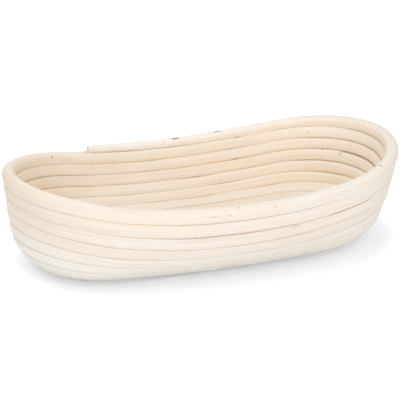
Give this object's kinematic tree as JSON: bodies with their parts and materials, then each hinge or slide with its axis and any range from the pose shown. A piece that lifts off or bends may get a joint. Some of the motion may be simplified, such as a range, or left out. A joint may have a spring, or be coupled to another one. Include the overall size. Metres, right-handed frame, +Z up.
{
  "type": "proofing basket",
  "caption": "Oval bread proofing basket coiled from round rattan cane, with a flat base, curved wall, saddle-shaped rim and wire staples between the turns.",
  "frame": {"origin": "middle of the underside, on the surface that the basket stands on", "axes": "+X along the basket, towards the end away from the rim lap; +Y towards the side that the cane end lies on; +Z up"},
  "size_m": [0.2992, 0.1709, 0.0782],
  "materials": {
    "rattan_core": "peeled rattan cane, sanded, unvarnished",
    "rattan_base": "peeled rattan cane, sanded, unvarnished",
    "rattan_wall": "peeled rattan cane, sanded, unvarnished",
    "staple_wire": "dull galvanised steel wire"
  },
  "bodies": {
    "root": {"core_cane": "rattan_core", "base_cane": "rattan_base", "wall_cane": "rattan_wall", "staples_turn_1": "staple_wire", "staples_turn_2": "staple_wire", "staples_turn_3": "staple_wire", "staples_turn_4": "staple_wire", "staples_turn_5": "staple_wire", "staples_turn_6": "staple_wire", "staples_turn_7": "staple_wire", "staples_turn_8": "staple_wire", "staples_turn_9": "staple_wire", "staples_turn_10": "staple_wire", "staples_turn_11": "staple_wire", "staples_turn_12": "staple_wire"}
  },
  "joints": []
}
